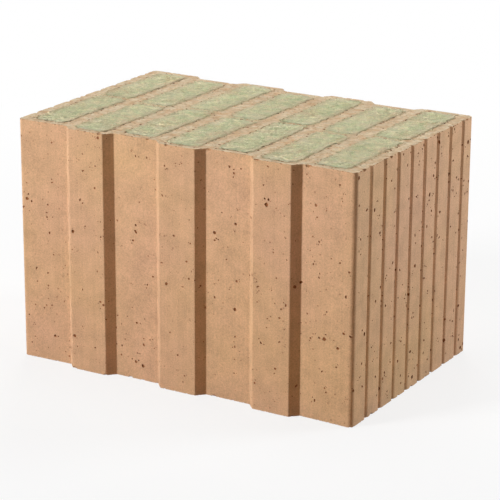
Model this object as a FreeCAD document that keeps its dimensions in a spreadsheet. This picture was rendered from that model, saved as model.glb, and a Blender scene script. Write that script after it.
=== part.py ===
import FreeCAD, Part
import math
import os
import Sketcher

# Hollow clay block with filled chambers. One extruded and fired clay body has tongues on its front
# head face, matching grooves on its back head face and plaster keys down both side faces. A mineral
# wool insert stands in each chamber, flush with the two ground bed faces.
# +X runs across the wall, +Y along the wall, away from the tongues, and +Z up.
# The origin is the middle of the footprint, on the lower bed face.

# Counts that belong to the shape of the die. Every second chamber column stands behind a tongue.
COLUMNS = 7
TONGUES = COLUMNS // 2
PLAIN_COLUMNS = COLUMNS - TONGUES
KEYS = 8

# Driving dimensions in millimetres.
SIZES = (
    ("block_width", 380.0, "across the wall, plaster face to plaster face"),
    ("block_length", 248.0, "along the wall, end land to end land"),
    ("block_height", 249.0, "between the ground bed faces"),
    ("corner_radius", 3.0, "vertical corners of the block"),
    ("side_shell", 13.5, "wall behind each plaster face"),
    ("web", 18.0, "wall between two chamber columns"),
    ("head_shell", 8.0, "wall of a head face, in front of a chamber"),
    ("cross_web", 9.0, "wall between the front and the back chamber of a column"),
    ("chamber_radius", 5.5, "vertical corners of a chamber"),
    ("wool_clearance", 0.25, "gap between an insert and its chamber wall"),
    ("tongue_height", 6.5, "tongue face in front of the end lands"),
    ("tongue_top", 40.0, "width of a tongue's flat face"),
    ("tongue_flank", 8.0, "run of a tongue's sloped side"),
    ("tongue_inset", 1.0, "outer tongues stand this much nearer the middle than their columns"),
    ("recess_depth", 2.0, "field between two tongues, behind the end lands"),
    ("groove_depth", 8.0, "groove floor behind the back end lands"),
    ("joint_clearance", 2.0, "side play of a tongue in the next block's groove"),
    ("edge_radius", 2.0, "rounded edges of tongues and grooves"),
    ("root_radius", 1.5, "hollow corners at the foot of tongues and grooves"),
    ("key_first", 29.0, "front end land to the middle of the first plaster key"),
    ("key_pitch", 28.0, "middle to middle of two plaster keys"),
    ("key_mouth", 6.5, "width of a plaster key at the face"),
    ("key_floor", 3.0, "width of a plaster key at its floor"),
    ("key_depth", 2.2, "depth of a plaster key"),
    ("key_slope", 2.5, "run of a plaster key's gentle front side"),
)

# Sizes that follow from the driving ones.
DERIVED = (
    ("chamber_width", f"=(block_width - 2 * side_shell - {COLUMNS - 1} * web) / {COLUMNS}"),
    ("column_pitch", "=chamber_width + web"),
    ("land_to_chamber", "=recess_depth + head_shell"),
    ("chamber_length", "=(block_length - 2 * land_to_chamber - cross_web) / 2"),
    ("row_shift", "=(chamber_length + cross_web) / 2"),
    ("tongue_pitch", "=2 * column_pitch - tongue_inset"),
    ("tongue_rise", "=tongue_height + recess_depth"),
    ("tongue_foot", "=tongue_top + 2 * tongue_flank"),
    ("groove_floor", "=tongue_top + 2 * joint_clearance"),
    ("groove_mouth", "=groove_floor + 2 * tongue_flank * groove_depth / tongue_rise"),
    ("footprint_shift", "=tongue_height / 2"),
)

POSITION_TOLERANCE = 0.001
ORIGIN_POINT = (-1, 1)

doc = FreeCAD.newDocument("clay_block")
sheet = doc.addObject("Spreadsheet::Sheet", "sizes")


def fill_sheet():
    """Write every driving size, then every derived size, one row each with its alias."""
    row = 1
    for alias, size, meaning in SIZES:
        sheet.set(f"A{row}", meaning)
        sheet.set(f"B{row}", str(size))
        sheet.setAlias(f"B{row}", alias)
        row += 1
    for alias, formula in DERIVED:
        sheet.set(f"A{row}", alias)
        sheet.set(f"B{row}", formula)
        sheet.setAlias(f"B{row}", alias)
        row += 1
    doc.recompute()


def size(alias):
    """Current number in a cell of the sheet."""
    return float(sheet.get(alias))


def new_body(name):
    body = doc.addObject("PartDesign::Body", name)
    body.Label = name
    return body


def plan_sketch(body, name, shift_x="0", shift_y="0"):
    """Sketch on the lower bed plane, its own origin moved by two expressions."""
    sketch = body.newObject("Sketcher::SketchObject", name)
    plane = next(item for item in body.Origin.OriginFeatures if item.Role == "XY_Plane")
    sketch.AttachmentSupport = [(plane, "")]
    sketch.MapMode = "FlatFace"
    sketch.setExpression("AttachmentOffset.Base.x", shift_x)
    sketch.setExpression("AttachmentOffset.Base.y", shift_y)
    return sketch


def bind(sketch, constraint, expression):
    """Add a dimension and tie it to the sheet."""
    index = sketch.addConstraint(constraint)
    sketch.setExpression(f"Constraints[{index}]", expression)


def closed_outline(sketch, corners):
    """Straight closed outline, its ends joined. Returns the line numbers."""
    points = [FreeCAD.Vector(x, y, 0) for x, y in corners]
    lines = []
    for start, end in zip(points, points[1:] + points[:1]):
        lines.append(sketch.addGeometry(Part.LineSegment(start, end), False))
    for line, following in zip(lines, lines[1:] + lines[:1]):
        sketch.addConstraint(Sketcher.Constraint("Coincident", line, 2, following, 1))
    return lines


def rectangle(sketch, width, length):
    """Rectangle centred on the sketch's origin."""
    x = sheet.evalExpression(width) / 2
    y = sheet.evalExpression(length) / 2
    lines = closed_outline(sketch, ((-x, -y), (x, -y), (x, y), (-x, y)))
    for line, direction in zip(lines, ("Horizontal", "Vertical", "Horizontal", "Vertical")):
        sketch.addConstraint(Sketcher.Constraint(direction, line))
    sketch.addConstraint(Sketcher.Constraint("Symmetric", lines[0], 1, lines[1], 2, *ORIGIN_POINT))
    bind(sketch, Sketcher.Constraint("DistanceX", lines[0], 1, lines[0], 2, 2 * x), width)
    bind(sketch, Sketcher.Constraint("DistanceY", lines[1], 1, lines[1], 2, 2 * y), length)


def rounded_rectangle(sketch, width, length, radius):
    """Rectangle with round corners, centred on the sketch's origin."""
    half_x = sheet.evalExpression(width) / 2
    half_y = sheet.evalExpression(length) / 2
    round_off = sheet.evalExpression(radius)
    x = half_x - round_off
    y = half_y - round_off
    sides = (
        ((-x, -half_y), (x, -half_y)),
        ((half_x, -y), (half_x, y)),
        ((x, half_y), (-x, half_y)),
        ((-half_x, y), (-half_x, -y)),
    )
    middles = ((x, -y), (x, y), (-x, y), (-x, -y))
    quarter = math.pi / 2
    lines = []
    arcs = []
    for turn, ((start, end), middle) in enumerate(zip(sides, middles)):
        line = Part.LineSegment(FreeCAD.Vector(*start, 0), FreeCAD.Vector(*end, 0))
        circle = Part.Circle(FreeCAD.Vector(*middle, 0), FreeCAD.Vector(0, 0, 1), round_off)
        corner = Part.ArcOfCircle(circle, (turn - 1) * quarter, turn * quarter)
        lines.append(sketch.addGeometry(line, False))
        arcs.append(sketch.addGeometry(corner, False))
    for line, arc, following in zip(lines, arcs, lines[1:] + lines[:1]):
        sketch.addConstraint(Sketcher.Constraint("Tangent", line, 2, arc, 1))
        sketch.addConstraint(Sketcher.Constraint("Tangent", arc, 2, following, 1))
    for line, direction in zip(lines, ("Horizontal", "Vertical", "Horizontal", "Vertical")):
        sketch.addConstraint(Sketcher.Constraint(direction, line))
    for arc in arcs[1:]:
        sketch.addConstraint(Sketcher.Constraint("Equal", arcs[0], arc))
    sketch.addConstraint(Sketcher.Constraint("Symmetric", arcs[0], 3, arcs[2], 3, *ORIGIN_POINT))
    bind(sketch, Sketcher.Constraint("Radius", arcs[0], round_off), radius)
    bind(sketch, Sketcher.Constraint("DistanceX", lines[3], 1, lines[1], 1, 2 * half_x), width)
    bind(sketch, Sketcher.Constraint("DistanceY", lines[0], 1, lines[2], 1, 2 * half_y), length)


def trapezoid(sketch, near_width, far_width, depth):
    """Symmetric trapezoid: its near side lies on the sketch's X axis, its far side depth above it."""
    near = sheet.evalExpression(near_width) / 2
    far = sheet.evalExpression(far_width) / 2
    rise = sheet.evalExpression(depth)
    lines = closed_outline(sketch, ((-near, 0), (near, 0), (far, rise), (-far, rise)))
    sketch.addConstraint(Sketcher.Constraint("Symmetric", lines[0], 1, lines[0], 2, *ORIGIN_POINT))
    sketch.addConstraint(Sketcher.Constraint("Horizontal", lines[0]))
    sketch.addConstraint(Sketcher.Constraint("Symmetric", lines[2], 1, lines[2], 2, -2))
    bind(sketch, Sketcher.Constraint("DistanceX", lines[0], 1, lines[0], 2, 2 * near), near_width)
    bind(sketch, Sketcher.Constraint("DistanceX", lines[2], 2, lines[2], 1, 2 * far), far_width)
    bind(sketch, Sketcher.Constraint("DistanceY", lines[1], 1, lines[1], 2, rise), depth)


def key_outline(sketch, inward):
    """Plaster key in plan, with a gentle front side and a steep back side. inward is X's sign into the clay."""
    mouth = size("key_mouth")
    depth = size("key_depth")
    slope = size("key_slope")
    floor = size("key_floor")
    floor_start = slope - mouth / 2
    floor_end = floor_start + floor
    corners = ((0, -mouth / 2), (0, mouth / 2), (inward * depth, floor_end), (inward * depth, floor_start))
    lines = closed_outline(sketch, corners)
    left_end, right_end = (2, 1) if inward < 0 else (1, 2)
    sketch.addConstraint(Sketcher.Constraint("Symmetric", lines[0], 1, lines[0], 2, *ORIGIN_POINT))
    sketch.addConstraint(Sketcher.Constraint("Vertical", lines[0]))
    sketch.addConstraint(Sketcher.Constraint("Vertical", lines[2]))
    bind(sketch, Sketcher.Constraint("DistanceY", lines[0], 1, lines[0], 2, mouth), "sizes.key_mouth")
    across = Sketcher.Constraint("DistanceX", lines[1], left_end, lines[1], right_end, depth)
    bind(sketch, across, "sizes.key_depth")
    bind(sketch, Sketcher.Constraint("DistanceY", lines[2], 2, lines[2], 1, floor), "sizes.key_floor")
    bind(sketch, Sketcher.Constraint("DistanceY", lines[0], 1, lines[3], 1, slope), "sizes.key_slope")


def step(body, feature, adds):
    """Make a feature the body's tip and make sure that it took or gave material."""
    before = 0.0 if body.Shape.isNull() else body.Shape.Volume
    body.Tip = feature
    doc.recompute()
    grew = body.Shape.Volume - before
    if (grew > 0) != adds or abs(grew) < POSITION_TOLERANCE:
        raise RuntimeError(f"{feature.Name} did not change the body as it should")


def pad(body, sketch, name):
    feature = body.newObject("PartDesign::Pad", name)
    feature.Profile = sketch
    feature.setExpression("Length", "sizes.block_height")
    return feature


def pocket(body, sketch, name):
    """Cut upwards through the whole height."""
    feature = body.newObject("PartDesign::Pocket", name)
    feature.Profile = sketch
    feature.Reversed = True
    feature.setExpression("Length", "sizes.block_height")
    return feature


def repeat(body, feature, sketch, axis, count, spacing, adds):
    """Row of copies of a feature along one axis of its sketch."""
    pattern = body.newObject("PartDesign::LinearPattern", feature.Name + "_row")
    pattern.Originals = [feature]
    pattern.Direction = (sketch, [axis])
    pattern.setExpression("Length", f"{count - 1} * {spacing}")
    pattern.Occurrences = count
    step(body, pattern, adds)


def vertical_edges(shape, wanted):
    """Names of the upright edges whose plan position passes the test."""
    names = []
    for number, edge in enumerate(shape.Edges, 1):
        start = edge.Vertexes[0].Point
        end = edge.Vertexes[-1].Point
        upright = abs(start.z - end.z) > size("block_height") - POSITION_TOLERANCE
        if upright and wanted(start.x, start.y):
            names.append(f"Edge{number}")
    return names


def round_edges(body, name, radius, wanted):
    """Round the upright edges that pass the test."""
    base = body.Tip
    feature = body.newObject("PartDesign::Fillet", name)
    feature.Base = (base, vertical_edges(base.Shape, wanted))
    feature.setExpression("Radius", radius)
    body.Tip = feature
    doc.recompute()


def near(number, target):
    return abs(number - target) < POSITION_TOLERANCE


def clay_block():
    """The fired piece: block, recessed fields, tongues, grooves, plaster keys, round edges, chambers."""
    body = new_body("clay_block")
    body.setExpression("Placement.Base.y", "sizes.footprint_shift")
    outline = plan_sketch(body, "block_outline")
    rectangle(outline, "sizes.block_width", "sizes.block_length")
    step(body, pad(body, outline, "block"), adds=True)
    tongue_span = f"{TONGUES - 1} * sizes.tongue_pitch"
    tongue_shift = f"-{tongue_span} / 2"

    fields = plan_sketch(body, "field_outline", "0", "-(sizes.block_length - sizes.recess_depth) / 2")
    rectangle(fields, tongue_span, "sizes.recess_depth")
    step(body, pocket(body, fields, "recessed_fields"), adds=False)

    foot = "-sizes.block_length / 2 + sizes.recess_depth"
    tongue = plan_sketch(body, "tongue_outline", tongue_shift, f"{foot} - sizes.tongue_rise")
    trapezoid(tongue, "sizes.tongue_top", "sizes.tongue_foot", "sizes.tongue_rise")
    first_tongue = pad(body, tongue, "tongue")
    step(body, first_tongue, adds=True)
    repeat(body, first_tongue, tongue, "H_Axis", TONGUES, "sizes.tongue_pitch", adds=True)

    groove_place = "sizes.block_length / 2 - sizes.groove_depth"
    groove = plan_sketch(body, "groove_outline", tongue_shift, groove_place)
    trapezoid(groove, "sizes.groove_floor", "sizes.groove_mouth", "sizes.groove_depth")
    first_groove = pocket(body, groove, "groove")
    step(body, first_groove, adds=False)
    repeat(body, first_groove, groove, "H_Axis", TONGUES, "sizes.tongue_pitch", adds=False)

    round_clay_edges(body)
    plaster_keys(body)
    chambers(body)
    return body


def round_clay_edges(body):
    """Outward edges of tongues and grooves, then their hollow corners, then the corners of the block."""
    side = size("block_width") / 2
    back = size("block_length") / 2
    front = -back
    crest = front - size("tongue_height")
    field = front + size("recess_depth")
    floor = back - size("groove_depth")

    def on_side_face(x):
        return near(abs(x), side)

    def outward_edge(x, y):
        return near(y, crest) or (near(y, back) and not on_side_face(x))

    def hollow_corner(x, y):
        return near(y, floor) or near(y, field) or (near(y, front) and not on_side_face(x))

    def block_corner(x, y):
        return on_side_face(x)

    round_edges(body, "rounded_edges", "sizes.edge_radius", outward_edge)
    round_edges(body, "rounded_roots", "sizes.root_radius", hollow_corner)
    round_edges(body, "rounded_corners", "sizes.corner_radius", block_corner)


def plaster_keys(body):
    """A row of keys down each side face."""
    first_place = "-sizes.block_length / 2 + sizes.key_first"
    for face, outward in (("right", 1), ("left", -1)):
        face_place = f"{outward} * sizes.block_width / 2"
        outline = plan_sketch(body, f"{face}_key_outline", face_place, first_place)
        key_outline(outline, -outward)
        first_key = pocket(body, outline, f"{face}_key")
        step(body, first_key, adds=False)
        repeat(body, first_key, outline, "V_Axis", KEYS, "sizes.key_pitch", adds=False)


def column_places():
    """Each column's number, its steps from the middle column, and whether it stands behind a tongue."""
    for column in range(COLUMNS):
        yield column + 1, column - COLUMNS // 2, column % 2 == 1


def chamber_outline(sketch, gap):
    """Plan of a chamber, or of what stands in it with a gap all round."""
    width = f"sizes.chamber_width - 2 * {gap}"
    length = f"sizes.chamber_length - 2 * {gap}"
    rounded_rectangle(sketch, width, length, f"sizes.chamber_radius - {gap}")


def chambers(body):
    """Front and back chambers. The columns behind a tongue stand forward by the rise of the tongue."""
    kinds = (
        ("plain", PLAIN_COLUMNS, "0"),
        ("tongue", TONGUES, "sizes.tongue_rise"),
    )
    for kind, count, forward in kinds:
        first_place = f"-{count - 1} * sizes.column_pitch"
        for row, side in (("front", "-"), ("back", "")):
            name = f"{kind}_{row}_chamber"
            row_place = f"{side}sizes.row_shift - {forward}"
            outline = plan_sketch(body, name + "_outline", first_place, row_place)
            chamber_outline(outline, "0")
            first = pocket(body, outline, name)
            step(body, first, adds=False)
            repeat(body, first, outline, "H_Axis", count, "2 * sizes.column_pitch", adds=False)


def wool_insert(row, side, column, steps, behind_tongue):
    """One pad of mineral wool, a clearance smaller than its chamber all round."""
    body = new_body(f"wool_insert_{row}_{column}")
    forward = "sizes.tongue_rise" if behind_tongue else "0"
    body.setExpression("Placement.Base.x", f"{steps} * sizes.column_pitch")
    body.setExpression("Placement.Base.y", f"{side}sizes.row_shift - {forward} + sizes.footprint_shift")
    outline = plan_sketch(body, f"wool_outline_{row}_{column}")
    chamber_outline(outline, "sizes.wool_clearance")
    step(body, pad(body, outline, f"wool_{row}_{column}"), adds=True)
    return body


def check(subparts):
    """Stop before anything is written if an object failed or a shape is not one valid solid."""
    for item in doc.Objects:
        if "Invalid" in item.State or "Error" in item.State:
            raise RuntimeError(f"{item.Name} failed: {item.State}")
    for body in subparts:
        if body.Shape.isNull() or not body.Shape.isValid() or len(body.Shape.Solids) != 1:
            raise RuntimeError(f"{body.Label} is not one valid solid")


def main():
    fill_sheet()
    subparts = [clay_block()]
    for row, side in (("front", "-"), ("back", "")):
        for column, steps, behind_tongue in column_places():
            subparts.append(wool_insert(row, side, column, steps, behind_tongue))
    doc.recompute()
    check(subparts)
    os.makedirs("parts", exist_ok=True)
    for body in subparts:
        body.Shape.exportStep(f"parts/{body.Label}.step")


main()
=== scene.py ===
import math
import random

import bpy
from mathutils import Euler, Matrix, Vector


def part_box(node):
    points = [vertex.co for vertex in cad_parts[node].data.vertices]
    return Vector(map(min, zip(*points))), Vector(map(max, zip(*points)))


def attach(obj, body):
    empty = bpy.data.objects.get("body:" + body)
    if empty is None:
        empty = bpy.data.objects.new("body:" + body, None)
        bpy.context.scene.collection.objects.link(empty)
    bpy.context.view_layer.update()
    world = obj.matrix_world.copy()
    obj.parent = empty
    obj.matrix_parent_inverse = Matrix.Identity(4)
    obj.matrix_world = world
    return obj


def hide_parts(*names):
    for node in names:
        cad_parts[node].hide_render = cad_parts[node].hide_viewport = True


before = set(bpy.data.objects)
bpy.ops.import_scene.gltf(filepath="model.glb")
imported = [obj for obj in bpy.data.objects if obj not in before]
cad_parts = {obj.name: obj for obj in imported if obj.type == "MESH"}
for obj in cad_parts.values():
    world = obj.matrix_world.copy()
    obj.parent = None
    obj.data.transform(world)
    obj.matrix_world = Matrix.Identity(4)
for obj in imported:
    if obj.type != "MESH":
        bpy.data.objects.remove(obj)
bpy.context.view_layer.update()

MM = 0.001
RNG = random.Random(38)
CLAY_LOW, CLAY_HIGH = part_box("clay_block")
INSERTS = [f"wool_insert_{row}_{column}" for row in ("front", "back") for column in range(1, 8)]
CHAMBERS = [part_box(name) for name in INSERTS]
COLUMN_PITCH = CHAMBERS[1][0].x - CHAMBERS[0][0].x


def linear(colour):
    """An sRGB hex colour as linear red, green, blue and alpha."""
    parts = [int(colour[i:i + 2], 16) / 255 for i in (1, 3, 5)]
    return [c / 12.92 if c <= 0.04045 else ((c + 0.055) / 1.055) ** 2.4 for c in parts] + [1.0]


def per(mm):
    """The texture scale of a pattern that comes once in so many millimetres."""
    return 1.0 / (mm * MM)


def add(tree, kind, inputs=None, **settings):
    """Adds a shader node, sets what it is set to, and fills its inputs with values or links."""
    made = tree.nodes.new("ShaderNode" + kind)
    for name, value in settings.items():
        setattr(made, name, value)
    for name, value in (inputs or {}).items():
        if isinstance(value, bpy.types.NodeSocket):
            tree.links.new(value, made.inputs[name])
        else:
            made.inputs[name].default_value = value
    return made


# The looks.

# Sockets of a Mix node that mixes colours.
MIX_A, MIX_B, MIX_OUT = 6, 7, 2
# Clay, wool and resin all refract about as much as glass does.
IOR = 1.5


def blank_material(name):
    made = bpy.data.materials.new(name)
    made.use_nodes = True
    made.node_tree.nodes.clear()
    return made, made.node_tree


def dull(tree, colour, roughness, shine, **more):
    """Ends a material in one rough surface with little shine."""
    shader = add(tree, "BsdfPrincipled", {"Base Color": colour, "Roughness": roughness, "IOR": IOR,
                                          "Specular IOR Level": shine, **more})
    add(tree, "OutputMaterial", {"Surface": shader.outputs[0]})


def spots(tree, place, pitch, tiny, sizes, fade, strength):
    """A mask of round spots, at most one in so many millimetres each way. The share that is tiny has the
    first size, the others range up to the second, and each fades out between two distances from its edge."""
    cells = add(tree, "TexVoronoi", {"Vector": place, "Scale": per(pitch)})
    size = add(tree, "MapRange", {"Value": cells.outputs["Color"], "From Min": tiny, "From Max": 1.0,
                                  "To Min": sizes[0], "To Max": sizes[1]})
    edge = add(tree, "Math", {0: cells.outputs["Distance"], 1: size.outputs[0]}, operation="SUBTRACT")
    return add(tree, "MapRange", {"Value": edge.outputs[0], "From Min": fade[0], "From Max": fade[1],
                                  "To Min": strength, "To Max": 0.0}).outputs[0]


def extruded_clay():
    """Red-firing clay pressed through a die and fired: a dull, fine sandy skin, clouded pink and
    gold by the kiln, with faint drag lines down the way it left the die and small burnt specks.
    Sand and drag lines are drawn coarser than real ones, so that they show."""
    skin, tree = blank_material("fired_clay_extruded")
    place = add(tree, "TexCoord").outputs["Object"]
    cloud = add(tree, "TexNoise", {"Vector": place, "Scale": per(120), "Detail": 3.0})
    kiln = add(tree, "MapRange", {"Value": cloud.outputs[0], "From Min": 0.3, "From Max": 0.7})
    fired = add(tree, "Mix", {0: kiln.outputs[0], MIX_A: linear("#D2AA8B"), MIX_B: linear("#D0AC84")},
                data_type="RGBA")
    smear = add(tree, "TexNoise", {"Vector": place, "Scale": per(16), "Detail": 4.0})
    drawn = add(tree, "Mapping", {"Vector": place, "Scale": (1.0, 1.0, 0.015)})
    drag = add(tree, "TexNoise", {"Vector": drawn.outputs[0], "Scale": per(2.2), "Detail": 2.0})
    sand = add(tree, "TexNoise", {"Vector": place, "Scale": per(1.3), "Detail": 3.0})
    lines = add(tree, "Math", {0: drag.outputs[0], 1: 0.4, 2: smear.outputs[0]}, operation="MULTIPLY_ADD")
    tone = add(tree, "Math", {0: sand.outputs[0], 1: 1.6, 2: lines.outputs[0]}, operation="MULTIPLY_ADD")
    value = add(tree, "MapRange", {"Value": tone.outputs[0], "From Min": 1.0, "From Max": 2.0,
                                   "To Min": 0.78, "To Max": 1.22})
    toned = add(tree, "HueSaturation", {"Color": fired.outputs[MIX_OUT], "Value": value.outputs[0]})
    speck = spots(tree, place, pitch=7, tiny=0.3, sizes=(0.02, 0.17), fade=(-0.07, 0.03), strength=0.55)
    colour = add(tree, "Mix", {0: speck, MIX_A: toned.outputs[0], MIX_B: linear("#8A5638")}, data_type="RGBA")
    height = add(tree, "Math", {0: drag.outputs[0], 1: sand.outputs[0]}, operation="ADD")
    bump = add(tree, "Bump", {"Height": height.outputs[0], "Strength": 0.35, "Distance": 0.35 * MM})
    rough = add(tree, "MapRange", {"Value": sand.outputs[0], "To Min": 0.8, "To Max": 0.95})
    dull(tree, colour.outputs[MIX_OUT], rough.outputs[0], 0.2, Normal=bump.outputs[0])
    return skin


def ground_clay():
    """The same clay ground flat after firing: a paler, dusty cut with the grit and the open pores of
    the body showing, and faint lines where the stone passed. Grit and lines are drawn coarser than
    real ones, so that they show."""
    bed, tree = blank_material("fired_clay_ground")
    place = add(tree, "TexCoord").outputs["Object"]
    patch = add(tree, "TexNoise", {"Vector": place, "Scale": per(9), "Detail": 5.0, "Roughness": 0.7})
    dusty = add(tree, "MapRange", {"Value": patch.outputs[0], "From Min": 0.35, "From Max": 0.65})
    base = add(tree, "Mix", {0: dusty.outputs[0], MIX_A: linear("#C9A47E"), MIX_B: linear("#DCCBAC")},
               data_type="RGBA")
    grit = add(tree, "TexVoronoi", {"Vector": place, "Scale": per(2.6)})
    passed = add(tree, "Mapping", {"Vector": place, "Scale": (0.03, 1.0, 1.0)})
    stone = add(tree, "TexNoise", {"Vector": passed.outputs[0], "Scale": per(1.2), "Detail": 2.0})
    tone = add(tree, "Math", {0: grit.outputs["Color"], 1: stone.outputs[0]}, operation="ADD")
    value = add(tree, "MapRange", {"Value": tone.outputs[0], "From Min": 0.2, "From Max": 1.8,
                                   "To Min": 0.69, "To Max": 1.17})
    toned = add(tree, "HueSaturation", {"Color": base.outputs[MIX_OUT], "Value": value.outputs[0]})
    pore = spots(tree, place, pitch=3.6, tiny=0.1, sizes=(0.0, 0.34), fade=(-0.08, 0.04), strength=0.75)
    colour = add(tree, "Mix", {0: pore, MIX_A: toned.outputs[0], MIX_B: linear("#9C6A46")}, data_type="RGBA")
    height = add(tree, "Math", {0: tone.outputs[0], 1: pore}, operation="SUBTRACT")
    bump = add(tree, "Bump", {"Height": height.outputs[0], "Strength": 0.5, "Distance": 0.4 * MM})
    dull(tree, colour.outputs[MIX_OUT], 0.95, 0.15, Normal=bump.outputs[0])
    return bed


def opened_clay(name, dark, light, grain):
    """Clay that was never smoothed by the die: the wall of a hole where sawdust burnt away, or the crumbled
    break along an edge. It is coarser and darker than the skin. The darkest kind, on the chamber rims and the
    pits in the beds, is partly darker broken clay and partly painted shade of the gap between wool and clay."""
    inside, tree = blank_material(name)
    place = add(tree, "TexCoord").outputs["Object"]
    crumb = add(tree, "TexNoise", {"Vector": place, "Scale": per(grain), "Detail": 3.0})
    mixed = add(tree, "MapRange", {"Value": crumb.outputs[0], "From Min": 0.35, "From Max": 0.65})
    colour = add(tree, "Mix", {0: mixed.outputs[0], MIX_A: linear(dark), MIX_B: linear(light)},
                 data_type="RGBA")
    bump = add(tree, "Bump", {"Height": crumb.outputs[0], "Strength": 0.6, "Distance": 0.3 * MM})
    dull(tree, colour.outputs[MIX_OUT], 0.95, 0.1, Normal=bump.outputs[0])
    return inside


def wool_tint(tree, place):
    """Colour of the wool at a place: drifts of grey-green and of cream, with clay dust caught in it,
    most of it along the sides of the chamber."""
    bundle = add(tree, "TexNoise", {"Vector": place, "Scale": per(12), "Detail": 5.0, "Distortion": 0.8})
    pale = add(tree, "MapRange", {"Value": bundle.outputs[0], "From Min": 0.28, "From Max": 0.72})
    base = add(tree, "Mix", {0: pale.outputs[0], MIX_A: linear("#BDC49E"), MIX_B: linear("#DED3B5")},
               data_type="RGBA")
    drift = add(tree, "TexNoise", {"Vector": place, "Scale": per(34), "Detail": 2.0})
    fine = add(tree, "TexNoise", {"Vector": place, "Scale": per(3.0), "Detail": 4.0, "Roughness": 0.7})
    both = add(tree, "Math", {0: drift.outputs[0], 1: fine.outputs[0]}, operation="ADD")
    dust = add(tree, "MapRange", {"Value": both.outputs[0], "From Min": 1.04, "From Max": 1.34,
                                  "To Min": 0.0, "To Max": 0.4})
    spot = add(tree, "SeparateXYZ", {0: place})
    off = add(tree, "Math", {0: spot.outputs["X"], 1: COLUMN_PITCH / 2}, operation="PINGPONG")
    rim = add(tree, "MapRange", {"Value": off.outputs[0], "From Min": 10 * MM, "From Max": 19 * MM,
                                 "To Min": 0.0, "To Max": 0.3})
    caught = add(tree, "Math", {0: dust.outputs[0], 1: rim.outputs[0]}, operation="ADD")
    dusty = add(tree, "Mix", {0: caught.outputs[0], MIX_A: base.outputs[MIX_OUT], MIX_B: linear("#CFA681")},
                data_type="RGBA")
    return dusty.outputs[MIX_OUT]


def cut_wool():
    """Mineral wool sawn across: a felt of pale grey-green threads, with painted shade that darkens the
    hollows between them where the bump is low, and clay dust from the grinding caught in it. The threads are
    drawn as bundles, because one by one they are too fine to show."""
    felt, tree = blank_material("mineral_wool_cut")
    place = add(tree, "TexCoord").outputs["Object"]
    bundles = add(tree, "TexNoise", {"Vector": place, "Scale": per(5), "Detail": 5.0, "Roughness": 0.6,
                                     "Distortion": 1.2}, noise_type="RIDGED_MULTIFRACTAL")
    # Painted shade: the felt is darker in the hollows between the bundles, where the bump is low.
    painted_hollow_shade = add(tree, "MapRange", {"Value": bundles.outputs[0], "From Min": 0.3, "From Max": 1.6,
                                 "To Min": 0.86, "To Max": 1.04})
    toned = add(tree, "HueSaturation", {"Color": wool_tint(tree, place), "Value": painted_hollow_shade.outputs[0]})
    crumb = spots(tree, place, pitch=4.5, tiny=0.45, sizes=(0.0, 0.2), fade=(-0.06, 0.02), strength=0.7)
    colour = add(tree, "Mix", {0: crumb, MIX_A: toned.outputs[0], MIX_B: linear("#A67B55")}, data_type="RGBA")
    bump = add(tree, "Bump", {"Height": bundles.outputs[0], "Strength": 0.3, "Distance": 0.3 * MM})
    dull(tree, colour.outputs[MIX_OUT], 0.95, 0.1, Normal=bump.outputs[0])
    return felt


def wool_thread():
    """Spun rock fibre, bound with a little resin: thin dull threads, some nearly white and some
    grey-green."""
    spun, tree = blank_material("mineral_wool_fibre")
    place = add(tree, "TexCoord").outputs["Object"]
    batch = add(tree, "TexNoise", {"Vector": place, "Scale": per(4), "Detail": 2.0})
    shade = add(tree, "MapRange", {"Value": batch.outputs[0], "From Min": 0.35, "From Max": 0.65,
                                   "To Min": 1.0, "To Max": 1.24})
    colour = add(tree, "HueSaturation", {"Color": wool_tint(tree, place), "Value": shade.outputs[0]})
    dull(tree, colour.outputs[0], 0.7, 0.25)
    return spun


CLAY_FINISHES = (
    extruded_clay(),
    ground_clay(),
    opened_clay("fired_clay_burnt_hole", "#805238", "#A8734D", grain=1.0),
    opened_clay("fired_clay_broken_edge", "#9A6E4E", "#C69B74", grain=1.6),
    # The chipped rim is darker than a break on an outer edge: partly broken clay, partly painted shade of the
    # gap between wool and clay.
    opened_clay("fired_clay_chipped_rim_and_painted_shade", "#6A422C", "#93623F", grain=1.3),
)
SKIN, BED, PORE, BREAK, RIM_AND_SHADE = range(len(CLAY_FINISHES))
WOOL_FINISHES = (cut_wool(), wool_thread())
FELT, THREAD = range(len(WOOL_FINISHES))

# The hands.


def alone(piece):
    """Makes a piece the only one that is selected."""
    if bpy.context.mode != "OBJECT":
        bpy.ops.object.mode_set(mode="OBJECT")
    bpy.ops.object.select_all(action="DESELECT")
    piece.select_set(True)
    bpy.context.view_layer.objects.active = piece


def pick(piece, kind, wanted):
    """Leaves a piece in edit mode with only the wanted vertices, edges or polygons selected."""
    alone(piece)
    bpy.ops.object.mode_set(mode="EDIT")
    bpy.ops.mesh.select_mode(type={"vertices": "VERT", "edges": "EDGE", "polygons": "FACE"}[kind])
    bpy.ops.mesh.select_all(action="DESELECT")
    bpy.ops.object.mode_set(mode="OBJECT")
    for part in getattr(piece.data, kind):
        part.select = wanted(part)
    bpy.ops.object.mode_set(mode="EDIT")


def done():
    bpy.ops.object.mode_set(mode="OBJECT")


def ends_of(piece, edge):
    return [piece.data.vertices[i].co for i in edge.vertices]


def new_piece(name, mesh):
    piece = bpy.data.objects.new(name, mesh)
    bpy.context.scene.collection.objects.link(piece)
    return piece


def strewn(name, places):
    """One mesh of many small copies. Each place is a modelled shape and the matrix that sets it."""
    vertices, faces = [], []
    for shape, matrix in places:
        first = len(vertices)
        vertices += [matrix @ v.co for v in shape.data.vertices]
        faces += [[first + i for i in face.vertices] for face in shape.data.polygons]
    mesh = bpy.data.meshes.new(name)
    mesh.from_pydata(vertices, [], faces)
    return new_piece(name, mesh)


def finish_with(piece, materials, slot=0):
    """Gives a piece its materials, and all its faces the one in that slot."""
    for material in materials:
        piece.data.materials.append(material)
    for face in piece.data.polygons:
        face.material_index = slot


def discard(pieces):
    for piece in pieces:
        bpy.data.objects.remove(piece)


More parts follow.
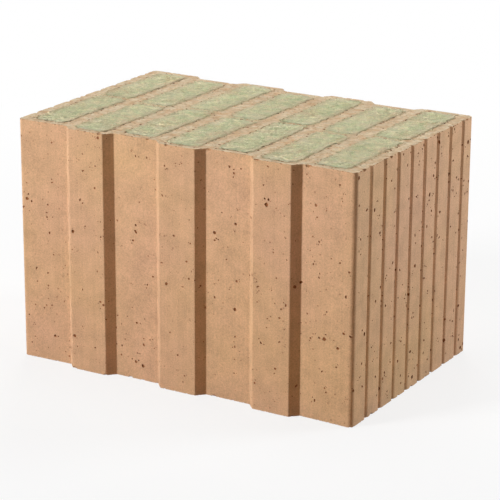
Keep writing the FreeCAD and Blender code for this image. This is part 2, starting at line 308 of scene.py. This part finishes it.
def bead(seed, sides):
    """A lumpy bead, the shape of a burnt-out grain, a crumb of clay or a tuft of wool."""
    bpy.ops.object.select_all(action="DESELECT")
    bpy.ops.mesh.primitive_uv_sphere_add(segments=sides, ring_count=4, radius=1.0)
    piece = bpy.context.active_object
    bpy.ops.object.mode_set(mode="EDIT")
    bpy.ops.mesh.select_all(action="SELECT")
    bpy.ops.transform.vertex_random(offset=0.22, uniform=1.0, seed=seed)
    done()
    return piece


# The clay.

# Sizes and places on the solid, in millimetres: the end lands, the hollow corners where the outer
# slopes of the end tongues meet them, the upright corners, and the plaster keys along Y.
FRONT_LAND = -120.75
FOOT_FROM, FOOT_TO = 130.4, 132.0
CORNER_CAST = 3.0
KEY_FIRST, KEY_PITCH, KEYS, KEY_DEPTH = -91.75, 28.0, 8, 2.2
KEY_SPAN = KEY_PITCH * (KEYS - 1)
KEY_MIDDLE = KEY_FIRST + KEY_SPAN / 2
# What drawing, drying and handling changed on it, in millimetres.
FOOT_RUN, FOOT_SINK = 1.7, 1.8
KEY_LEAN = 2.0
CORNER_WORN = 5.0
FRONT_LIP, BACK_LIP = 0.6, 1.4
# Points this near are one point, and a point this near a face is on it.
MERGED, ON_FACE = 0.005 * MM, 0.05 * MM

# Holes on each head face and each side face, and the share of a side's holes that lies in its keys,
# this near their middles in millimetres.
HEAD_HOLES, SIDE_HOLES, IN_KEYS, NEAR_KEY = 360, 290, 0.22, 2.0
# Radius of a hole in millimetres: its limits, and the logarithms of its middle size and its spread.
HOLE_SMALLEST, HOLE_LARGEST = 0.5, 2.4
HEAD_HOLE, SIDE_HOLE, HOLE_SPREAD = -0.08, 0.2, 0.38
# The share of a face's width that has holes, and the millimetres at its top and bottom that have none.
HOLED_WIDTH, HOLE_FREE = 0.985, 3.0
# How many small holes lie beside a hole, each as likely as the next, and their size and distance
# as shares of its radius.
HOLES_BESIDE = (0, 0, 0, 1, 2)
BESIDE_SIZE, BESIDE_DISTANCE = (0.35, 0.6), (2.0, 3.0)
# Pits on each bed, with their radius, and their distance from a chamber and its spread, in millimetres.
UPPER_PITS, LOWER_PITS = 620, 120
PIT_RADIUS, PIT_AWAY, PIT_SPREAD = (0.8, 2.1), 2.2, 1.1
# Millimetres of rim or edge to one break, the share of breaks that are large, and their reach.
UPPER_RIM, LOWER_RIM, OUTER_EDGE = 3.4, 9.0, 5.0
LARGE_ON_RIM, LARGE_ON_EDGE = 0.5, 0.2
SMALL_BREAK, LARGE_BREAK = (0.6, 1.5), (1.8, 3.6)
# A hole is off the face that it was meant for when it lands this far from it.
OFF_FACE = 0.1 * MM


def off_key(y):
    """How far past the middle of the nearest plaster key a place lies, in millimetres."""
    return (y / MM - KEY_FIRST + KEY_PITCH / 2) % KEY_PITCH - KEY_PITCH / 2


def lean_keys(clay):
    """Leans the far wall of each plaster key back, as a worn die leaves it."""
    key_floor = CLAY_HIGH.x - KEY_DEPTH * MM
    pick(clay, "vertices", lambda v: abs(abs(v.co.x) - key_floor) < ON_FACE
         and 0 < off_key(v.co.y) < KEY_PITCH / 4)
    bpy.ops.transform.translate(value=(0, -KEY_LEAN * MM, 0))
    done()


def sink_feet(clay):
    """Runs the outer slopes of the end tongues on to deeper feet, from which the end lands rise."""
    for side in (-1, 1):
        pick(clay, "vertices", lambda v: FOOT_FROM * MM < side * v.co.x < FOOT_TO * MM
             and v.co.y < FRONT_LAND * MM + ON_FACE)
        bpy.ops.transform.translate(value=(side * FOOT_RUN * MM, FOOT_SINK * MM, 0))
        done()


def wear_corners(clay):
    """Wears the four upright corners rounder, each by growing its arc out of the corner point."""
    near = (CORNER_CAST + 0.1) * MM
    grow = CORNER_WORN / CORNER_CAST
    for y in (FRONT_LAND * MM, CLAY_HIGH.y):
        for x in (CLAY_LOW.x, CLAY_HIGH.x):
            pick(clay, "vertices", lambda v: abs(v.co.x - x) < near and abs(v.co.y - y) < near)
            bpy.ops.transform.resize(value=(grow, grow, 1.0), center_override=(x, y, 0))
            done()


def wear_lips(clay):
    """Rounds the lips of the plaster keys, the far ones more, as handling wears them."""

    def on_lip(edge, side):
        a, b = ends_of(clay, edge)
        upright = abs(a.z - b.z) > 100 * MM and (a - b).xy.length < 0.01 * MM
        keyed = abs(a.y / MM - KEY_MIDDLE) < (KEY_SPAN + KEY_PITCH) / 2
        return upright and keyed and abs(a.x) > CLAY_HIGH.x - ON_FACE and off_key(a.y) * side > 0

    for side, wide in ((-1, FRONT_LIP), (1, BACK_LIP)):
        pick(clay, "edges", lambda e: on_lip(e, side))
        bpy.ops.mesh.bevel(offset=wide * MM, segments=4, affect="EDGES", clamp_overlap=True)
    done()


def bed_edges(clay):
    """The edges of the two ground beds, as pairs of points: round the chambers, and round the outside."""
    beds = {}
    for face in clay.data.polygons:
        for pair in face.edge_keys:
            beds.setdefault(pair, []).append(face.material_index == BED)
    rims, outside = [], []
    for pair, on_bed in beds.items():
        if sorted(on_bed) == [False, True]:
            a, b = (clay.data.vertices[i].co for i in pair)
            middle = (a + b) / 2
            at_chamber = any(low.x - MM < middle.x < high.x + MM and low.y - MM < middle.y < high.y + MM
                             for low, high in CHAMBERS)
            (rims if at_chamber else outside).append((a, b))
    return rims, outside


def clear_of(spot, radius, taken):
    """Whether a hole at a spot leaves some clay between itself and those that are already there."""
    return all((spot - other).length > 1.25 * (radius + wide) for other, wide in taken)


def flattened(radius, wide, deep):
    """A bead's size: its radius one way, and less than that across and down, within two limits each."""
    return Matrix.Diagonal((radius, radius * RNG.uniform(*wide), radius * RNG.uniform(*deep), 1.0))


def crumbled(edges, pitch, large, beads):
    """Small breaks along the edges, one in so many millimetres, and a share of large ones."""
    taken, places = [], []
    for a, b in edges:
        along = b - a
        count = along.length / (pitch * MM)
        count = int(count) + (RNG.random() < count % 1)
        for _ in range(count):
            spot = a + along * RNG.random()
            limits = LARGE_BREAK if RNG.random() < large else SMALL_BREAK
            reach = RNG.uniform(*limits) * MM
            if not clear_of(spot, reach, taken):
                continue
            taken.append((spot, reach))
            turn = along.to_track_quat("X", "Z").to_matrix().to_4x4()
            shape = flattened(reach, wide=(0.45, 0.85), deep=(0.4, 0.7))
            places.append((RNG.choice(beads), Matrix.Translation(spot) @ turn @ shape))
    return strewn("breaks", places)


def burnt_out_holes(clay, beads):
    """Small holes all over the four upright sides, where sawdust in the clay burnt away."""
    sides = ((Vector((0, 1, 0)), HEAD_HOLES), (Vector((0, -1, 0)), HEAD_HOLES),
             (Vector((-1, 0, 0)), SIDE_HOLES), (Vector((1, 0, 0)), SIDE_HOLES))
    outside = 300 * MM
    taken, places = [], []
    for inward, count in sides:
        across = Vector((abs(inward.y), abs(inward.x), 0))
        half = abs(across.dot(CLAY_HIGH))
        for _ in range(count):
            size = RNG.lognormvariate(SIDE_HOLE if inward.x else HEAD_HOLE, HOLE_SPREAD)
            radius = min(HOLE_LARGEST, max(HOLE_SMALLEST, size)) * MM
            u = RNG.uniform(-HOLED_WIDTH, HOLED_WIDTH) * half
            if inward.x and RNG.random() < IN_KEYS:
                u = (KEY_FIRST + KEY_PITCH * RNG.randrange(KEYS) + RNG.uniform(-NEAR_KEY, NEAR_KEY)) * MM
            z = RNG.uniform(HOLE_FREE * MM, CLAY_HIGH.z - HOLE_FREE * MM)
            hit, spot, normal, _ = clay.ray_cast(across * u - inward * outside + Vector((0, 0, z)), inward)
            if not hit or not clear_of(spot, radius, taken):
                continue
            taken.append((spot, radius))
            turn = normal.to_track_quat("Z", "Y").to_matrix().to_4x4()
            spin = Matrix.Rotation(RNG.uniform(0, math.tau), 4, "Z")
            shape = flattened(radius, wide=(0.4, 1.0), deep=(0.3, 0.6))
            places.append((RNG.choice(beads), Matrix.Translation(spot) @ turn @ spin @ shape))
            for _ in range(RNG.choice(HOLES_BESIDE)):
                small = radius * RNG.uniform(*BESIDE_SIZE)
                aside = Vector((radius * RNG.uniform(*BESIDE_DISTANCE), 0, 0))
                beside = spot + (turn @ Matrix.Rotation(RNG.uniform(0, math.tau), 4, "Z")) @ aside
                hit, found, _, _ = clay.ray_cast(beside + normal * 2 * MM, -normal)
                if not hit or (found - beside).length > OFF_FACE or not clear_of(found, small, taken):
                    continue
                taken.append((found, small))
                places.append((RNG.choice(beads), Matrix.Translation(found) @ turn @ Matrix.Scale(small, 4)))
    return strewn("holes", places)


def ground_open_pits(clay, beads):
    """Holes that grinding opened in the two beds, along the rims of the chambers."""
    taken, places = [], []
    for up, bed, count in ((1, CLAY_HIGH.z, UPPER_PITS), (-1, CLAY_LOW.z, LOWER_PITS)):
        for _ in range(count):
            low, high = RNG.choice(CHAMBERS)
            wide, away = high - low, abs(RNG.gauss(PIT_AWAY, PIT_SPREAD)) * MM
            x, y = RNG.uniform(low.x, high.x), RNG.uniform(low.y, high.y)
            along = 0.0
            if RNG.random() < wide.y / (wide.x + wide.y):
                x = low.x - away if RNG.random() < 0.5 else high.x + away
                along = math.pi / 2
            else:
                y = low.y - away if RNG.random() < 0.5 else high.y + away
            radius = RNG.uniform(*PIT_RADIUS) * MM
            spot = Vector((x, y, bed))
            hit, found, _, _ = clay.ray_cast(spot + Vector((0, 0, up * 10 * MM)), Vector((0, 0, -up)))
            if not hit or abs(found.z - bed) > OFF_FACE or not clear_of(spot, radius, taken):
                continue
            taken.append((spot, radius))
            turn = Matrix.Rotation(along + RNG.gauss(0, 0.5), 4, "Z")
            shape = flattened(radius, wide=(0.4, 0.8), deep=(0.4, 0.8))
            places.append((RNG.choice(beads), Matrix.Translation(spot) @ turn @ shape))
    return strewn("pits", places)


def cut_away(piece, tool, slot):
    """Takes a tool's shape out of a piece and gives the cut the material of that slot."""
    finish_with(tool, piece.data.materials, slot)
    alone(piece)
    cut = piece.modifiers.new("cut", "BOOLEAN")
    cut.operation = "DIFFERENCE"
    cut.solver = "MANIFOLD"
    cut.object = tool
    bpy.ops.object.modifier_apply(modifier=cut.name)
    discard([tool])


def break_up(clay):
    """Crumbles the rims and edges of the clay and opens its holes and pits."""
    beads = [bead(seed, 7) for seed in range(5)]
    crumbs = [bead(seed, 6) for seed in range(5, 10)]
    bpy.context.view_layer.update()
    rims, outside = bed_edges(clay)
    upper = crumbled([rim for rim in rims if rim[0].z > MM], UPPER_RIM, LARGE_ON_RIM, crumbs)
    lower = crumbled([rim for rim in rims if rim[0].z < MM], LOWER_RIM, LARGE_ON_RIM, crumbs)
    chipped = crumbled(outside, OUTER_EDGE, LARGE_ON_EDGE, beads)
    holes = burnt_out_holes(clay, beads)
    pits = ground_open_pits(clay, crumbs)
    # The breaks on the rims and the pits in the beds take the darkest clay, which also paints the shade of
    # the gap between wool and clay.
    for tool, slot in ((upper, RIM_AND_SHADE), (lower, RIM_AND_SHADE), (chipped, BREAK), (holes, PORE), (pits, RIM_AND_SHADE)):
        cut_away(clay, tool, slot)
    discard(beads + crumbs)


def shade_clay(clay):
    """Smooth skin, flat beds and a crisp line round every hole and break."""
    alone(clay)
    bpy.ops.object.shade_smooth_by_angle(angle=math.radians(32))
    worn = {}
    for face in clay.data.polygons:
        for pair in face.edge_keys:
            worn.setdefault(pair, set()).add(face.material_index)
    pick(clay, "edges", lambda e: len(worn[e.key]) > 1)
    bpy.ops.mesh.mark_sharp()
    pick(clay, "polygons", lambda f: f.material_index == BED)
    bpy.ops.mesh.faces_shade_flat()
    done()
    even = clay.modifiers.new("even", "WEIGHTED_NORMAL")
    even.keep_sharp = True
    bpy.ops.object.modifier_apply(modifier=even.name)


def clay_body():
    """The fired body: its solid's own shape, worn, holed and crumbled as fired clay is."""
    clay = new_piece("clay_body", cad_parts["clay_block"].data.copy())
    pick(clay, "vertices", lambda v: True)
    bpy.ops.mesh.remove_doubles(threshold=MERGED)
    bpy.ops.mesh.normals_make_consistent(inside=False)
    done()
    clay.data.materials.clear()
    finish_with(clay, CLAY_FINISHES)
    for face in clay.data.polygons:
        face.material_index = BED if abs(face.normal.z) > 0.9 else SKIN
    lean_keys(clay)
    sink_feet(clay)
    wear_corners(clay)
    wear_lips(clay)
    break_up(clay)
    shade_clay(clay)
    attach(clay, "root")
    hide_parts("clay_block")


# The wool.

# Sizes of an insert: its upright corners, the steps of the mesh on its ends, and its rims.
CORNER, END_MESH, RIM_ROUND = 5.25 * MM, 2.3 * MM, 0.6 * MM
# The patterns that make it uneven, with their grain in millimetres and their detail.
GRAINS = {"sawn_wool": (9, 2), "pulled_wool": (6, 1)}
# The parts of it that are uneven: by which pattern, by how many millimetres and from which level of it.
UNEVEN = {
    "crown": ("sawn_wool", 0.8, -0.2),
    "foot": ("sawn_wool", 0.4, 1.0),
    "rim": ("pulled_wool", 2.2, 0.75),
}
# A fibre is modelled much thicker than a real one, which wouldn't show.
THREAD_LENGTH, THREAD_RADIUS = 12 * MM, 0.22 * MM
# Fibres on the upper and the lower end of an insert, and strays over the clay beside it.
UPPER_THREADS, LOWER_THREADS = 420, 200
UPPER_STRAYS, LOWER_STRAYS = 150, 80
# Their lengths as shares of the modelled one, and the share of its height that is left when pressed flat.
THREAD_STRETCH, STRAY_STRETCH, PRESSED = (0.5, 1.3), (0.3, 0.7), 0.3
# The share of strays that lies by the cross web, and how far strays lie from it and from the other webs.
BY_CROSS_WEB, CROSS_WEB_SPREAD, WEB_SPREAD = 0.3, 4.0 * MM, 1.4 * MM
# Tufts on an insert, with their reach and height, and how far they lie over the clay, in millimetres.
TUFTS, TUFT_REACH, TUFT_HEIGHT = 70, (1.2, 3.2), (0.25, 0.45)
TUFT_OVER, TUFT_SPREAD = 0.6, 0.6


def wool_blank(node):
    """One insert as it is sawn: rounded upright corners, softened rims and a fine mesh on its ends."""
    low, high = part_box(node)
    bpy.ops.object.select_all(action="DESELECT")
    bpy.ops.mesh.primitive_cube_add(size=1.0, location=(low + high) / 2, scale=high - low)
    blank = bpy.context.active_object
    bpy.ops.object.transform_apply(location=True, rotation=True, scale=True)

    def upright(edge):
        a, b = ends_of(blank, edge)
        return abs(a.z - b.z) > MM

    pick(blank, "edges", upright)
    bpy.ops.mesh.bevel(offset=CORNER, segments=4, affect="EDGES")
    for axis in (0, 1):
        size = high[axis] - low[axis]
        count = round(size / END_MESH)
        for i in range(1, count):
            at, normal = Vector(low), Vector((0, 0, 0))
            at[axis] += size * i / count
            normal[axis] = 1.0
            bpy.ops.mesh.select_all(action="SELECT")
            bpy.ops.mesh.bisect(plane_co=at, plane_no=normal)
    bpy.ops.mesh.select_all(action="DESELECT")
    bpy.ops.mesh.select_mode(type="EDGE")
    bpy.ops.mesh.edges_select_sharp(sharpness=math.radians(60))
    bpy.ops.mesh.bevel(offset=RIM_ROUND, segments=2, affect="EDGES", clamp_overlap=True)
    done()
    groups = {name: blank.vertex_groups.new(name=name) for name in UNEVEN}
    for v in blank.data.vertices:
        up, down = high.z - v.co.z, v.co.z - low.z
        if up < ON_FACE:
            groups["crown"].add([v.index], 1.0, "ADD")
        elif down < ON_FACE:
            groups["foot"].add([v.index], 1.0, "ADD")
        elif min(up, down) < 2 * MM:
            groups["rim"].add([v.index], 1.0, "ADD")
    finish_with(blank, WOOL_FINISHES)
    return blank, low


def thread(bend, lift):
    """One fibre: a thin three-sided rod, bent sideways and lifted at its ends."""
    bpy.ops.object.select_all(action="DESELECT")
    bpy.ops.mesh.primitive_cylinder_add(vertices=3, radius=THREAD_RADIUS, depth=THREAD_LENGTH,
                                        end_fill_type="TRIFAN", rotation=(0, math.pi / 2, 0))
    piece = bpy.context.active_object
    bpy.ops.object.transform_apply(location=True, rotation=True, scale=True)
    rows = (-0.28, 0.0, 0.28)
    bpy.ops.object.mode_set(mode="EDIT")
    for row in rows:
        bpy.ops.mesh.select_all(action="SELECT")
        bpy.ops.mesh.bisect(plane_co=(row * THREAD_LENGTH, 0, 0), plane_no=(1, 0, 0))
    for row in (-0.5, *rows, 0.5):
        pick(piece, "vertices", lambda v: abs(v.co.x - row * THREAD_LENGTH) < 0.3 * MM)
        side = bend(row) * THREAD_LENGTH
        bpy.ops.transform.translate(value=(0, side, lift * row * row * THREAD_LENGTH))
    done()
    return piece


def threads_on(pad, low, high, end, shapes, rng):
    """Where fibres lie on one end of an insert, within its rim. The end is 1 for upper and -1 for lower."""
    upper = end > 0
    wanted = UPPER_THREADS if upper else LOWER_THREADS
    margin, above = 1.0 * MM, 20 * MM
    places = []
    made = 0
    while made < wanted:
        x, y = rng.uniform(low.x, high.x), rng.uniform(low.y, high.y)
        spin, long = rng.uniform(0, math.tau), rng.uniform(*THREAD_STRETCH)
        reach = Vector((math.cos(spin), math.sin(spin), 0)) * THREAD_LENGTH * long / 2
        tips = (Vector((x, y, 0)) + reach, Vector((x, y, 0)) - reach)
        if not all(low.x + margin < tip.x < high.x - margin and low.y + margin < tip.y < high.y - margin
                   for tip in tips):
            continue
        made += 1
        start = Vector((x, y, (high.z if upper else low.z) + end * above))
        hit, spot, _, _ = pad.ray_cast(start, Vector((0, 0, -end)))
        if not hit:
            continue
        tilt = (rng.gauss(0, 0.06), rng.gauss(0, 0.05), spin) if upper else (math.pi, 0.0, spin)
        turn = Euler(tilt).to_matrix().to_4x4()
        shape = Matrix.Diagonal((long, long, rng.uniform(0.7, 1.3) if upper else PRESSED, 1.0))
        places.append((rng.choice(shapes), Matrix.Translation(spot) @ turn @ shape))
    return places


def strays_on(low, high, end, shapes, rng):
    """Where short stray fibres lie over the rim of a chamber and the clay beside it, on one bed."""
    upper = end > 0
    bed = high.z if upper else low.z
    cross_web = min((low.y, high.y), key=abs)
    places = []
    for _ in range(UPPER_STRAYS if upper else LOWER_STRAYS):
        if rng.random() < BY_CROSS_WEB:
            x, y = rng.uniform(low.x, high.x), cross_web + rng.gauss(0, CROSS_WEB_SPREAD)
        else:
            x, y = rng.choice((low.x, high.x)) + rng.gauss(0, WEB_SPREAD), rng.uniform(low.y, high.y)
        turn = Euler((0 if upper else math.pi, 0, rng.uniform(0, math.tau))).to_matrix().to_4x4()
        long = rng.uniform(*STRAY_STRETCH)
        spot = Vector((x, y, bed + (rng.uniform(0.1, 0.5) * MM if upper else -0.08 * MM)))
        shape = Matrix.Diagonal((long, long, 0.8 if upper else PRESSED, 1.0))
        places.append((rng.choice(shapes), Matrix.Translation(spot) @ turn @ shape))
    return places


def tufts_on(low, high, shapes, rng):
    """Where tufts of wool are pulled over the rim of the chamber, on the upper bed."""
    places = []
    size, bed = high - low, high.z
    for _ in range(TUFTS):
        long, thick = rng.uniform(*TUFT_REACH) * MM, rng.uniform(*TUFT_HEIGHT) * MM
        over = rng.gauss(TUFT_OVER, TUFT_SPREAD) * MM
        if rng.random() < size.y / (size.x + size.y):
            x = rng.choice((low.x - over, high.x + over))
            y, along = rng.uniform(low.y + CORNER / 2, high.y - CORNER / 2), math.pi / 2
        else:
            y = rng.choice((low.y - over, high.y + over))
            x, along = rng.uniform(low.x + CORNER / 2, high.x - CORNER / 2), 0.0
        turn = Matrix.Rotation(along + rng.gauss(0, 0.35), 4, "Z")
        shape = Matrix.Diagonal((long, long * rng.uniform(0.4, 0.7), thick, 1.0))
        places.append((rng.choice(shapes), Matrix.Translation((x, y, bed + 1.3 * thick)) @ turn @ shape))
    return places


def rough_up(pad, textures):
    """Makes the two sawn ends of an insert and their rims uneven."""
    for group, (texture, strength, mid_level) in UNEVEN.items():
        move = pad.modifiers.new(group, "DISPLACE")
        move.texture = textures[texture]
        move.texture_coords = "GLOBAL"
        move.vertex_group = group
        move.strength = strength * MM
        move.mid_level = mid_level
        bpy.ops.object.modifier_apply(modifier=move.name)


def wool_pads():
    """The inserts: each a copy of one blank in its chamber, with its own uneven ends and loose fibres."""
    blank, start = wool_blank(INSERTS[0])
    shapes = [thread(lambda t: 0.35 * t * t, 0.10), thread(lambda t: -0.5 * t * t, 0.06),
              thread(lambda t: 0.9 * t ** 3, 0.14), thread(lambda t: -0.25 * t * t + 0.5 * t ** 3, 0.0)]
    lumps = [bead(seed, 8) for seed in range(20, 24)]
    textures = {}
    for name, (grain, depth) in GRAINS.items():
        textures[name] = bpy.data.textures.new(name, "CLOUDS")
        textures[name].noise_scale = grain * MM
        textures[name].noise_depth = depth
    for number, name in enumerate(INSERTS):
        low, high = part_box(name)
        pad = new_piece(name.replace("insert", "pad"), blank.data.copy())
        for group in UNEVEN:
            pad.vertex_groups.new(name=group)
        pick(pad, "vertices", lambda v: True)
        bpy.ops.transform.translate(value=low - start)
        done()
        rough_up(pad, textures)
        bpy.context.view_layer.update()
        rng = random.Random(number)
        places = []
        for end in (1, -1):
            places += threads_on(pad, low, high, end, shapes, rng)
            places += strays_on(low, high, end, shapes, rng)
        loose = strewn("loose", places)
        finish_with(loose, WOOL_FINISHES, THREAD)
        pulled_over = strewn("pulled_over", tufts_on(low, high, lumps, rng))
        finish_with(pulled_over, WOOL_FINISHES, FELT)
        alone(pulled_over)
        bpy.ops.object.shade_smooth()
        alone(pad)
        bpy.ops.object.shade_smooth_by_angle(angle=math.radians(50))
        loose.select_set(True)
        pulled_over.select_set(True)
        bpy.ops.object.join()
        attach(pad, "root")
        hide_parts(name)
    discard([blank, *shapes, *lumps])


clay_body()
wool_pads()

# The studio.

FLOOR_RADIUS, FLOOR_DROP = 4.0, 0.4 * MM


def to_background(tree):
    """1 for rays that show the background: straight to the camera, mirrored or through glass."""
    path = add(tree, "LightPath")
    shown = add(tree, "Math", {0: path.outputs["Is Camera Ray"], 1: path.outputs["Is Glossy Ray"]},
                operation="MAXIMUM")
    return add(tree, "Math", {0: shown.outputs[0], 1: path.outputs["Is Transmission Ray"]},
               operation="MAXIMUM").outputs[0]


def studio_paper():
    """White studio paper: even and dull, with the soft shadow of what stands on it. The light that it
    throws back on the object is warm, and further out it fades into the background."""
    paper, tree = blank_material("white_studio_paper")
    place = add(tree, "TexCoord").outputs["Object"]
    away = add(tree, "VectorMath", {0: place}, operation="LENGTH")
    fade = add(tree, "MapRange", {"Value": away.outputs["Value"], "From Min": 0.3, "From Max": 1.1,
                                  "To Min": 0.78, "To Max": 1.0}, interpolation_type="SMOOTHSTEP")
    seen = to_background(tree)
    shown = add(tree, "Math", {0: fade.outputs[0], 1: seen}, operation="MULTIPLY")
    shade = add(tree, "Mix", {0: seen, MIX_A: linear("#AA7B45"), MIX_B: linear("#F8F8F8")}, data_type="RGBA")
    matt = add(tree, "BsdfDiffuse", {"Color": shade.outputs[MIX_OUT]})
    white = add(tree, "Emission", {"Strength": 1.0})
    mixed = add(tree, "MixShader", {0: shown.outputs[0], 1: matt.outputs[0], 2: white.outputs[0]})
    add(tree, "OutputMaterial", {"Surface": mixed.outputs[0]})
    return paper


def studio_floor():
    bpy.ops.object.select_all(action="DESELECT")
    bpy.ops.mesh.primitive_circle_add(vertices=96, radius=FLOOR_RADIUS, fill_type="NGON",
                                      location=(0, 0, -FLOOR_DROP))
    floor = bpy.context.active_object
    floor.name = "studio_floor"
    floor.data.materials.append(studio_paper())


def studio_walls():
    """A white background, and a little warm light from all round."""
    world = bpy.data.worlds.new("studio")
    bpy.context.scene.world = world
    world.use_nodes = True
    tree = world.node_tree
    tree.nodes.clear()
    glow = add(tree, "Background", {"Color": linear("#FFE6CA"), "Strength": 0.055})
    white = add(tree, "Background", {"Color": linear("#FFFFFF"), "Strength": 1.0})
    either = add(tree, "MixShader", {0: to_background(tree), 1: glow.outputs[0], 2: white.outputs[0]})
    add(tree, "OutputWorld", {"Surface": either.outputs[0]})


def softbox(name, place, aim, wide, high, power, spread=180, tint="#FFFFFF"):
    """A soft lamp at a place, facing a point, which the camera doesn't see. The spread is in degrees."""
    data = bpy.data.lights.new(name, "AREA")
    data.shape = "RECTANGLE"
    data.size, data.size_y, data.energy = wide, high, power
    data.spread = math.radians(spread)
    data.color = linear(tint)[:3]
    lamp = bpy.data.objects.new(name, data)
    lamp.location = place
    lamp.rotation_mode = "QUATERNION"
    lamp.rotation_quaternion = (Vector(aim) - Vector(place)).to_track_quat("-Z", "Y")
    lamp.visible_camera = False
    bpy.context.scene.collection.objects.link(lamp)


studio_floor()
studio_walls()
MIDDLE = (0.0, 0.0, 0.12)
softbox("key_softbox", place=(-2.24, -3.02, 1.49), aim=(-0.22, 0.0, 0.78), wide=1.3, high=1.1, power=17.6,
        spread=50)
softbox("side_softbox", place=(1.73, 1.44, 0.75), aim=(0.1, -0.12, 0.55), wide=0.9, high=1.0, power=8.9,
        spread=70, tint="#F2FAFF")
softbox("top_softbox", place=(-0.1, 0.2, 2.2), aim=MIDDLE, wide=1.3, high=1.3, power=15.0)
softbox("back_softbox", place=(-1.2, 2.0, 0.8), aim=MIDDLE, wide=0.9, high=1.4, power=26.0)

# The camera.

SENSOR, LENS = 36.0, 155.1
CAMERA_PLACE = (1.063, -1.78665, 0.7801)
YAW, PITCH, ROLL = math.radians(30.596), math.radians(17.837), math.radians(0.317)


def photo_camera():
    """The camera at the photo's angle: turned left by the yaw, down by the pitch, then rolled."""
    data = bpy.data.cameras.new("photo_camera")
    data.sensor_width, data.lens = SENSOR, LENS
    camera = bpy.data.objects.new("photo_camera", data)
    forward = Vector((-math.sin(YAW), math.cos(YAW), 0))
    right = Vector((math.cos(YAW), math.sin(YAW), 0))
    up = Vector((0, 0, 1))
    look = forward * math.cos(PITCH) - up * math.sin(PITCH)
    over = up * math.cos(PITCH) + forward * math.sin(PITCH)
    rolled_right = right * math.cos(ROLL) + over * math.sin(ROLL)
    rolled_over = over * math.cos(ROLL) - right * math.sin(ROLL)
    turn = Matrix((rolled_right, rolled_over, -look)).transposed().to_4x4()
    camera.matrix_world = Matrix.Translation(CAMERA_PLACE) @ turn
    bpy.context.scene.collection.objects.link(camera)
    return camera


bpy.context.scene.camera = photo_camera()
bpy.context.scene.view_settings.view_transform = "Standard"
